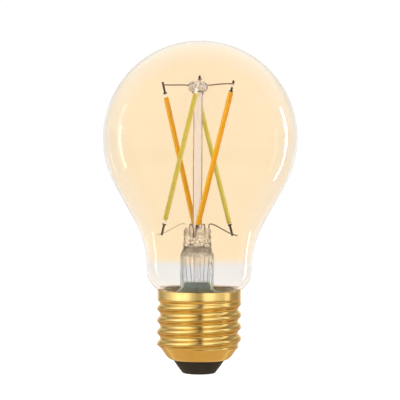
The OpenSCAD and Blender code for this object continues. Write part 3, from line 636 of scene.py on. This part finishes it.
def pinched(p, a):
    """The button's two lobes, left and right of a groove, with the left one crumpled by the tongs."""
    r = math.hypot(p.x, p.y)
    if r < 1e-6:
        return p
    groove = max(0, abs(math.sin(a - math.radians(5))) - 0.86) / 0.14
    keep = 0.80 + 0.20 * math.cos(a) ** 2 - 0.22 * groove
    crumple = mix(0.3, 0.12, smooth(-0.4, 0.8, p.x)) * (ripple(p, 0.9, 7.0) + 0.5 * ripple(p, 0.45, 2.0))
    dent = 0.25 * math.exp(-(p.x - 0.25) ** 2 / 0.25) * (abs(p.z - BUTTON_Z) / (BUTTON_H / 2)) ** 2
    z = BUTTON_Z + (p.z - BUTTON_Z) * (1 - dent * 0.5) + crumple * 0.7
    return Vector((p.x * (keep + crumple / r), p.y * (keep + crumple / r), z))


edge = BUTTON_H / 2 - 0.03
profile = [(0, BUTTON_Z - edge), (0.5, BUTTON_Z - edge), (1.0, BUTTON_Z - edge)]
profile += arc(BUTTON_R - edge, BUTTON_Z, edge, -88, 88, 24)
profile += [(0.9, BUTTON_Z + edge - 0.02), (0.45, BUTTON_Z + edge - 0.05), (0, BUTTON_Z + edge - 0.06)]
piece("stem_button", [turned(profile, 72, shape=pinched)], M["button"], ["stem_button"], sharp=60,
      shift=ON_STEM)

# ---------- wires ----------


def turn_z(p, degrees):
    return Matrix.Rotation(math.radians(degrees), 4, "Z") @ Vector(p)


def filament_point(i, s):
    """The point of filament i at a distance along it from its middle."""
    return turn_z((MID_R, s * math.sin(TILT), CAGE_Z - HANG[i] + s * math.cos(TILT)), SIDE_ANGLES[i] + 45)


def weld_point(i, s, over):
    """A point on the wire that lies beside a tab, at a distance outwards from the weld."""
    p = filament_point(i, s)
    out = Vector((p.x, p.y, 0)).normalized()
    side = Vector((-out.y, out.x, 0)) * math.copysign(1, s)
    return p + side * (TAB_W / 2 + WIRE_R + 0.01) + out * over


UP = Vector((0, 0, 1))
for i, side in enumerate(["front", "right", "rear", "left"]):
    out = turn_z((1, 0, 0), SIDE_ANGLES[i] + 90)
    w, end = weld_point(i, WELD_S, -1.5), weld_point(i, WELD_S, 0.25)
    path = [out * 1.2 + UP * SUPPORT_Z, out * 2.2 + UP * SUPPORT_Z]
    path += bezier(out * (BUTTON_R + 0.6) + UP * SUPPORT_Z, out * 5 + UP * (SUPPORT_Z + 0.1), out * 7 + UP * w.z, w, 16)
    path += [w.lerp(end, 0.5), end]
    piece("support_wire_" + side, [tube(path, WIRE_R)], M["nickel"], ["support_wire_" + side],
          shift=ON_STEM)

for i, side in enumerate(["left", "front", "right", "rear"]):
    start = Vector((LEAD_X[i], 0, PRESS_TOP_Z + GAP))
    out = turn_z((1, 0, 0), SIDE_ANGLES[i])
    w, end = weld_point(i, -WELD_S, -1), weld_point(i, -WELD_S, 1.6) - UP * 0.9
    path = [start] + bezier(start + UP * 0.5, start + UP * 2.2, w - out * 3.5 + UP * 1.9, w, 24)
    path += [w.lerp(end, 0.5), end]
    piece("lead_wire_" + side, [tube(path, WIRE_R)], M["bright_wire" if side == "left" else "nickel"],
          ["lead_wire_" + side], shift=ON_STEM)

seals, leads = [], []
for x, (foot_x, foot_y) in zip(LEAD_X, LEAD_FEET):
    seals.append(tube([(x, 0, PRESS_Z - 0.9), (x, 0, PRESS_Z + 2), (x, 0, PRESS_TOP_Z - 0.05)], SEAL_WIRE_R))
    head, foot = Vector((x, 0, PRESS_Z - 1.1)), Vector((foot_x, foot_y, LEAD_FOOT_Z))
    leads.append(tube(bezier(head, head - UP * 6, foot + UP * 9, foot, 20), OUTER_LEAD_R))
piece("seal_wires", seals, M["copper"], ["seal_wires"], shift=ON_STEM)
piece("outer_leads", leads, M["copper"], ["outer_leads"], shift=ON_STEM)

# ---------- filaments ----------


def filament_place(i):
    """Puts a filament that lies along Z about its middle into the cage."""
    turn = Matrix.Rotation(math.radians(SIDE_ANGLES[i] + 45), 4, "Z")
    return turn @ Matrix.Translation((MID_R, 0, CAGE_Z - HANG[i])) @ Matrix.Rotation(-TILT, 4, "X")


def strip(width, thickness, low, high, place):
    """A flat strip with rounded corners, in enough lengths to carry a field along it."""
    w, t, corner = width / 2, thickness / 2, 0.05
    outline = [(t - corner, -w), (t, corner - w), (t, w - corner), (t - corner, w), (corner - t, w), (-t, w - corner),
               (-t, corner - w), (corner - t, -w)]
    rings = []
    for z, k in [(low, 0.85)] + [(mix(low + corner, high - corner, i / 12), 1.0) for i in range(13)] + [(high, 0.85)]:
        rings.append([place @ Vector((x * k, y * k, z)) for x, y in outline])
    return skin([[place @ Vector((0, 0, low))]] + rings + [[place @ Vector((0, 0, high))]])


# how much further than half its length each coat runs below and above
PHOSPHOR_ENDS, END_ROUND = [(-0.5, -0.9), (0.6, 0.6), (0.5, 0.0), (0.0, -0.3)], 0.5


def phosphor_bar(width, thickness, seed, ends):
    """A bar of oval section with rounded ends, thicker and thinner along its length; its points and fields."""
    rings, across, along = [], [], []
    half = (PHOSPHOR_L + ends[0] + ends[1]) / 2
    middle = (ends[1] - ends[0]) / 2
    stations = [-half + END_ROUND * (1 - math.cos(math.radians(a))) for a in (12, 35, 60, 80)]
    stations += ([mix(-half + END_ROUND, half - END_ROUND, k / 130) for k in range(131)]
                 + [-s for s in stations[::-1]])
    for s in stations:
        fade = min(1.0, (half - abs(s)) / END_ROUND)
        k = 0.55 + 0.45 * math.sqrt(1 - (1 - fade) ** 2)
        k *= 1 + 0.035 * ripple((s, 0, 0), 1.6, seed) + 0.02 * ripple((s, 0, 0), 0.6, seed)
        ring = []
        for j in range(28):
            a = 2 * math.pi * j / 28
            x, y = thickness / 2 * math.cos(a), width / 2 * math.copysign(abs(math.sin(a)) ** 0.85, math.sin(a))
            x *= 1.0 if x > 0 else 0.92
            ring.append(Vector((x * k, y * k, s + middle)))
            across.append(math.sin(a))
            along.append(s + middle)
        rings.append(ring)
    rings = [[Vector((0, 0, middle - half))]] + rings + [[Vector((0, 0, middle + half))]]
    return skin(rings), [0.0] + across + [0.0], [middle - half] + along + [middle + half]


# where a tab gets a painted highlight: height along the filament, reach and amount
PAINTED_GLINTS = {"cool_left": [(22.7, 1.25, 1.0)], "warm_front": [(23.6, 0.55, 1.0), (-24.0, 1.6, 0.35)]}

CLIP_H, CLIP_BEVEL = 0.42, 0.03
for i, name in enumerate(FILAMENTS):
    colour = name.split("_")[0]
    width = PHOSPHOR_W[colour]
    place = Matrix.Translation(ON_STEM) @ filament_place(i)
    (vertices, faces), across, along = phosphor_bar(width, width * PHOSPHOR_T_RATIO, 10.0 + i, PHOSPHOR_ENDS[i])
    piece(name + "_phosphor", [([place @ v for v in vertices], faces)], M[colour],
          [name + "_phosphor"], fields={"across": across, "along": along})
    parts, painted_glint = [], []
    for s in (-1, 1):
        near, far = s * (SUBSTRATE_L / 2 + GAP), s * FILAMENT_L / 2
        parts.append(strip(TAB_W, TAB_T, min(near, far), max(near, far), place))
        clip_z = s * (SUBSTRATE_L / 2 + 0.12)
        for y in (-1, 1):                                   # the clip's two cheeks, its back and its front
            parts.append(block((SUBSTRATE_T + 0.3, 0.1, CLIP_H), CLIP_BEVEL, place @ Matrix.Translation(
                (0, y * (SUBSTRATE_W / 2 + 0.06), clip_z))))
        for x in (-1, 1):
            parts.append(block((0.12, SUBSTRATE_W + 0.18, CLIP_H), CLIP_BEVEL, place @ Matrix.Translation(
                (x * (SUBSTRATE_T / 2 + 0.08), 0, clip_z))))
    back = place.inverted()
    for vertices, _ in parts:
        for v in vertices:
            z = (back @ v).z
            # the painted highlight's strength at each vertex
            painted_glint.append(sum(amount * math.exp(-((z - at) / reach) ** 4)
                              for at, reach, amount in PAINTED_GLINTS.get(name, [])))
    piece(name + "_tabs", parts, M["tab"], [name + "_tabs"], fields={"painted_glint": painted_glint})

# ---------- cap ----------


def thread_rise(x):
    """How far the thread stands out over its root at a distance along the axis from its crest."""
    h, half = CREST_R - ROOT_R, PITCH / 2
    flank = math.atan2(2 * FLANK_R - h, half)
    slope = math.asin(2 * FLANK_R / math.hypot(half, 2 * FLANK_R - h)) - flank
    edge = FLANK_R * math.sin(slope)
    if x <= edge:
        return h - FLANK_R + math.sqrt(FLANK_R**2 - x * x)
    if x >= half - edge:
        return FLANK_R - math.sqrt(FLANK_R**2 - (half - x) ** 2)
    return h - FLANK_R + FLANK_R * math.cos(slope) - (x - edge) * math.tan(slope)


def below_crest(a, z):
    """How far a point at an angle and height is below the nearest crest."""
    turns = (z - CREST_PHASE_Z) / PITCH - (a - 180) / 360
    return (round(turns) - turns) * PITCH


def shell_radius(a, z, base, depth):
    rise = thread_rise(abs(below_crest(a, z))) * smooth(THREAD_END_Z, THREAD_LOW_Z, z)
    k = smooth(THREAD_TOP_Z, THREAD_FULL_Z, z)
    return k * (base + rise) + (1 - k) * COLLAR_R - depth


def shell_levels(depth):
    """(height, radius without the thread) from the rim down the thread, the cone and the rounded base."""
    cone_r = BASE_CX + BASE_ARC_R * math.cos(math.radians(CONE_ANGLE))
    cone_z = BASE_CZ - BASE_ARC_R * math.sin(math.radians(CONE_ANGLE))
    cone_top = cone_z + (ROOT_R - cone_r) / math.tan(math.radians(CONE_ANGLE))
    low = arc(BASE_CX, BASE_CZ, BASE_ARC_R - depth, -CONE_ANGLE, BASE_ANGLE, 22)
    levels = [(z, ROOT_R) for z in (RIM_Z - RIM_ROUND, RIM_Z - 0.6, 24.4, 23.6)]
    levels += [(mix(THREAD_TOP_Z, cone_top, i / 150), ROOT_R) for i in range(151)]
    levels += [(mix(cone_top, low[0][1], t / 10), mix(ROOT_R, low[0][0] + depth, t / 10)) for t in range(1, 10)]
    return levels + [(z, r + depth) for r, z in low]


def shell_rings():
    """The shell's rings, down its outside, up its inside and over its rim, with each vertex's share of the dark band
    under the crests, partly tarnish and partly painted shade.
    """
    rows = [(z, base, 0.0) for z, base in shell_levels(0)]
    rows += [(z, base, BRASS_T) for z, base in reversed(shell_levels(BRASS_T))]
    for lean in (30, 60, 90, 120, 150):
        rise, depth = RIM_ROUND * math.sin(math.radians(lean)), RIM_ROUND * math.cos(math.radians(lean))
        rows.append((RIM_Z - RIM_ROUND + rise, ROOT_R, BRASS_T / 2 + depth))
    sides = 240
    rings, groove = [], []
    for z, base, depth in rows:
        threaded = smooth(THREAD_END_Z, THREAD_LOW_Z, z) * smooth(THREAD_TOP_Z, THREAD_FULL_Z, z)
        ring = []
        for j in range(sides):
            a = 360 * j / sides
            r = shell_radius(a, z, base, depth)
            ring.append(Vector((r * math.cos(math.radians(a)), r * math.sin(math.radians(a)), z)))
            # the dark band under each crest: partly tarnish, partly painted shade
            groove.append(math.exp(-((below_crest(a, z) - 0.8) / 0.36) ** 2) * threaded)
        rings.append(ring)
    return rings, groove


rings, groove = shell_rings()
piece("cap_shell", [skin(rings, closed=True)], M["brass"], ["cap_shell"], sharp=70,
      fields={"groove": groove})

inner = arc(BASE_CX, BASE_CZ, BASE_ARC_R - BRASS_T - GAP, -78, -40, 12)
lip_r = BASE_CX + (BASE_ARC_R - BRASS_T) * math.cos(math.radians(BASE_ANGLE)) - GAP - 0.02
lip_z = BASE_Z - 0.15
side = [(INSULATOR_R + 0.06 * math.sin(math.pi * t / 8) + (lip_r - INSULATOR_R) * t / 8, mix(0.35, lip_z, t / 8))
        for t in range(1, 8)]
seat = CONTACT_TOP_Z + GAP
profile = [(1.5 + GAP, seat), (CONTACT_R + GAP, seat), (CONTACT_R + GAP, 0.25), (CONTACT_R + 0.12, 0.12),
           (CONTACT_R + 0.3, 0.1)]
profile += arc(INSULATOR_R - 0.4, 0.5, 0.4, -90, -38, 10) + side + [(lip_r, lip_z), (lip_r, inner[0][1])]
profile += inner + [(inner[-1][0] - 1.2, inner[-1][1]), (5, 4.8), (1.5 + GAP, 4.4)]
piece("cap_insulator", [turned(profile, 160, closed=True)], M["black_glass"], ["cap_insulator"],
      sharp=35)


def stamped(p, _):
    """The contact's lower face isn't quite flat."""
    return p + UP * 0.02 * (1 + ripple(p, 1.6, 4.0)) if p.z < 0.05 else p


profile = [(1.08, 0.12), (1.2, 0.0), (1.8, 0.0), (2.6, 0.0), (3.4, 0.0)] + arc(CONTACT_R - 0.3, 0.3, 0.3, -80, 0, 6)
profile += [(CONTACT_R, CONTACT_TOP_Z), (1.5, CONTACT_TOP_Z), (1.5, 4.4 + GAP), (2.2, 4.5 + GAP), (2.2, 4.8),
            (1.0, 4.8), (1.0, 0.3)]
piece("centre_contact", [turned(profile, 96, closed=True, shape=stamped)], M["contact"],
      ["centre_contact"], sharp=35)


def beaded(p, _):
    """Solder sets in an uneven bead."""
    sag = UP * 0.03 * ripple(p, 0.6, 2.0) if math.hypot(p.x, p.y) < 0.9 else Vector((0, 0, 0))
    return p + Vector((p.x, p.y, 0)) * 0.1 * ripple(p, 0.8, 6.0) + sag


profile = [(0, 0.06), (0.3, 0.07), (0.6, 0.12), (0.82, 0.22), (0.92, 0.36), (0.92, 3.6), (0, 3.65)]
piece("centre_solder", [turned(profile, 48, shape=beaded)], M["solder"], ["centre_solder"], sharp=50)

# ---------- CAD nodes that stay ----------

KEPT = {
    "neutral_solder": "solder", "basing_cement": "cement", "insulating_sleeve": "sleeve", "driver_board": "board",
    "wireless_board": "board", "antenna_trace": "aerial", "wireless_chip": "package", "crystal": "can",
    "driver_chip": "package", "dimmer_transistors": "package", "bridge_rectifier": "package",
    "bulk_capacitor": "cap_sleeve", "bulk_capacitor_leads": "tinned", "film_capacitor": "film",
    "inductor_core": "ferrite", "inductor_winding": "winding", "fusible_resistor": "resistor",
    "chip_resistors": "package", "chip_capacitors": "chip_cap", "live_wire": "tinned", "neutral_wire": "tinned",
    "solder_joints": "solder",
}
for name in FILAMENTS:
    KEPT[name + "_substrate"] = "ceramic"
    KEPT[name + "_chips"] = "led"
for name, key in KEPT.items():
    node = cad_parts[name]
    for material_slot in node.material_slots:
        material_slot.material = M[key]

# ---------- floor, light and camera ----------


# the studio's brightness by azimuth: soft boxes left and right of the camera, which stands in a dark gap at 0
AROUND = [(-180, 1.0), (-158, 1.0), (-148, 0.62), (-130, 0.4), (-112, 0.55), (-85, 0.95), (-62, 1.5), (-35, 1.5),
          (-18, 0.8), (-6, 0.55), (6, 0.55), (16, 1.35), (34, 1.4), (50, 0.95), (72, 0.8), (77, 1.2), (88, 1.15),
          (96, 0.45), (124, 0.38), (146, 0.6), (158, 1.0), (180, 1.0)]
# its colour by height, from 0 straight down to 1 straight up
TIERS = [(0.0, (0.67, 0.49, 0.26)), (0.14, (0.68, 0.50, 0.27)), (0.22, (0.85, 0.76, 0.5)), (0.28, (0.2, 0.13, 0.06)),
         (0.37, (0.2, 0.13, 0.06)), (0.45, (1.0, 1.0, 1.0)), (0.55, (1.0, 1.0, 1.0)), (0.64, (0.75, 0.68, 0.5)),
         (0.74, (1.15, 1.15, 1.1)), (0.86, (0.85, 0.8, 0.65)), (1.0, (0.45, 0.36, 0.2))]
WARM_CARD, BLACK_FLAG = (0.64, 0.45, 0.25), (0.05, 0.04, 0.03)
WHITE, STEEP_GREY, GLASS_WHITE = (1.02, 1.02, 1.02), (0.42, 0.38, 0.34), (1.0, 0.99, 0.97)
INSIDE_FILL = (1.75, 1.95, 2.8)           # lifts what lies behind the tinted glass


def studio_world():
    """White behind everything; reflections see the soft boxes, cards and flags, and each kind of ray its own tone."""
    world = bpy.data.worlds.new("studio")
    scene.world = world
    world.use_nodes = True
    world.node_tree.nodes.clear()
    nodes = Nodes(world.node_tree)
    x, y, z = nodes.axes(nodes.add("ShaderNodeTexCoord").outputs["Generated"])
    turn = nodes.span(nodes.math("ARCTAN2", x, nodes.math("MULTIPLY", y, -1.0)), -math.pi, math.pi)
    off_front = nodes.math("ABSOLUTE", nodes.math("SUBTRACT", turn, 0.5))
    off_level = nodes.math("ABSOLUTE", z)
    path = nodes.add("ShaderNodeLightPath").outputs

    # what reflections see
    band = nodes.ramp(turn, [((a + 180) / 360, (v, v ** 1.1, v ** 1.25)) for a, v in AROUND])
    tiers = nodes.ramp(nodes.span(z, -1.0, 1.0), TIERS)
    gap, away = nodes.span(off_front, 0.034, 0.008, eased=True), nodes.span(off_front, 0.2, 0.33, eased=True)
    level = nodes.span(off_level, 0.12, 0.2, eased=True)
    under, down = nodes.span(z, -0.08, -0.22, eased=True), nodes.span(z, -0.5, -0.62, eased=True)
    seen = nodes.tint(tiers, band)
    seen = nodes.blend(nodes.math("MULTIPLY", nodes.math("MULTIPLY", gap, level), 0.7), seen, BLACK_FLAG)
    seen = nodes.blend(nodes.math("MULTIPLY", away, under), seen, WARM_CARD)
    seen = nodes.blend(down, seen, tiers)
    behind_glass = nodes.math("COMPARE", path["Transmission Depth"], 2.0, 1.5)
    seen = nodes.blend(behind_glass, seen, GLASS_WHITE)

    # what soft light carries: more from the left, and more inside the glass
    side = nodes.span(x, -1.0, 1.0, 1.3, 1.0)
    soft = nodes.add("ShaderNodeCombineColor", {0: side, 1: side, 2: side}).outputs[0]
    soft = nodes.blend(path["Is Transmission Ray"], soft, nodes.tint(soft, INSIDE_FILL))

    # what shows directly and through glass: white, but greyer where many layers bend the ray up or down
    many_layers = nodes.math("GREATER_THAN", path["Transmission Depth"], 5.5)
    bent = nodes.math("MULTIPLY", many_layers, nodes.span(off_level, 0.14, 0.45, eased=True))
    through = nodes.blend(bent, WHITE, STEEP_GREY)

    glossy, diffuse = (nodes.math("MINIMUM", path[kind + " Depth"], 1.0) for kind in ("Glossy", "Diffuse"))
    light = nodes.blend(diffuse, nodes.blend(glossy, through, seen), soft)
    background = nodes.add("ShaderNodeBackground", {"Color": light, "Strength": 1.0})
    nodes.link(background.outputs[0], nodes.add("ShaderNodeOutputWorld").inputs["Surface"])


def area_light(name, azimuth, elevation, distance, width, height, power):
    """A soft box turned to the bulb; azimuth runs from the camera's side, positive to the right."""
    light = bpy.data.lights.new(name, "AREA")
    light.shape = "RECTANGLE"
    light.size, light.size_y, light.energy = width, height, power
    made = bpy.data.objects.new(name, light)
    a, e = math.radians(azimuth), math.radians(elevation)
    aim = Vector((0, 0, 0.065))
    away = Vector((math.sin(a) * math.cos(e), -math.cos(a) * math.cos(e), math.sin(e)))
    made.location = aim + away * distance
    made.rotation_euler = away.to_track_quat("Z", "Y").to_euler()
    scene.collection.objects.link(made)
    return made


studio_world()
glass_only = bpy.data.collections.new("glass_only")         # the two strips only draw highlights on the glass
glass_only.objects.link(envelope_piece)
for light in (area_light("strip_right", azimuth=120.5, elevation=-2, distance=1.2, width=0.07, height=1.0, power=4.5),
              area_light("strip_left", azimuth=-111, elevation=2, distance=1.2, width=0.12, height=1.0, power=0.6)):
    light.light_linking.receiver_collection = glass_only
key = area_light("key", azimuth=-35, elevation=38, distance=1.3, width=0.7, height=0.7, power=10)
key.visible_glossy = key.visible_transmission = False

floor_material = surface("floor", (0.91, 0.91, 0.91), (0.93, 0.93, 0.93), 0.02, (0.85, 0.95), 0.1)
turns = [2 * math.pi * j / 64 for j in range(64)]
rings = [[Vector((0, 0, FLOOR_Z))]]
rings += [[Vector((r * math.cos(a), r * math.sin(a), FLOOR_Z)) for a in turns] for r in (500, 2000, 9000)]
vertices, faces = skin(rings)
mesh = bpy.data.meshes.new("floor")
mesh.from_pydata([v * MM for v in vertices], [], faces)
mesh.materials.append(floor_material)
floor = bpy.data.objects.new("floor", mesh)
floor.visible_glossy = False
scene.collection.objects.link(floor)

camera_data = bpy.data.cameras.new("camera")
camera_data.sensor_width = 36
camera_data.lens = 117.13
camera_data.shift_y = 0.01
camera_data.clip_start = 0.01
camera = bpy.data.objects.new("camera", camera_data)
camera.location = (0.00005, -0.402, 0.0522)
level, roll = Matrix.Rotation(math.radians(90), 4, "X"), Matrix.Rotation(math.radians(0.36), 4, "Z")
camera.rotation_euler = (level @ roll).to_euler()
scene.collection.objects.link(camera)
scene.camera = camera

scene.view_settings.view_transform = "Standard"
scene.view_settings.look = "None"
scene.cycles.max_bounces = 32
scene.cycles.transmission_bounces = 32
scene.cycles.transparent_max_bounces = 16
